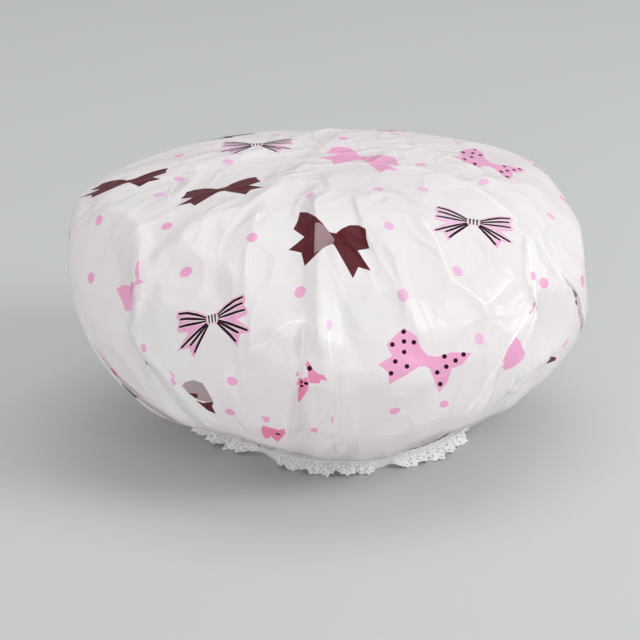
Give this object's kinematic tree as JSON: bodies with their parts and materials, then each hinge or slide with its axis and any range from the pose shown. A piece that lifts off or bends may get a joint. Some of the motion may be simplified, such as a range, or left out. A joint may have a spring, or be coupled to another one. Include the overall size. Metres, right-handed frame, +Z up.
{
  "type": "shower cap",
  "caption": "Puffed shower cap of thin frosted film, gathered at its opening by an elastic in a sewn hem with a ruffled lace trim.",
  "frame": {"origin": "centre of the bounding box, on the surface that the cap lies on with its opening down", "axes": "+Z up through the crown, -Y towards the front, +X to the right"},
  "size_m": [0.2712, 0.264, 0.1451],
  "materials": {
    "film": "frosted soft plastic film, satin, printed with bows and dots",
    "elastic": "covered elastic tape, matte",
    "lace": "white lace with eyelets",
    "thread": "white sewing thread"
  },
  "bodies": {
    "root": {"crown_film": "film", "elastic_band": "elastic", "elastic_join_thread": "thread", "lace_trim": "lace", "lace_join_thread": "thread", "needle_thread": "thread", "bobbin_thread": "thread"}
  },
  "joints": []
}
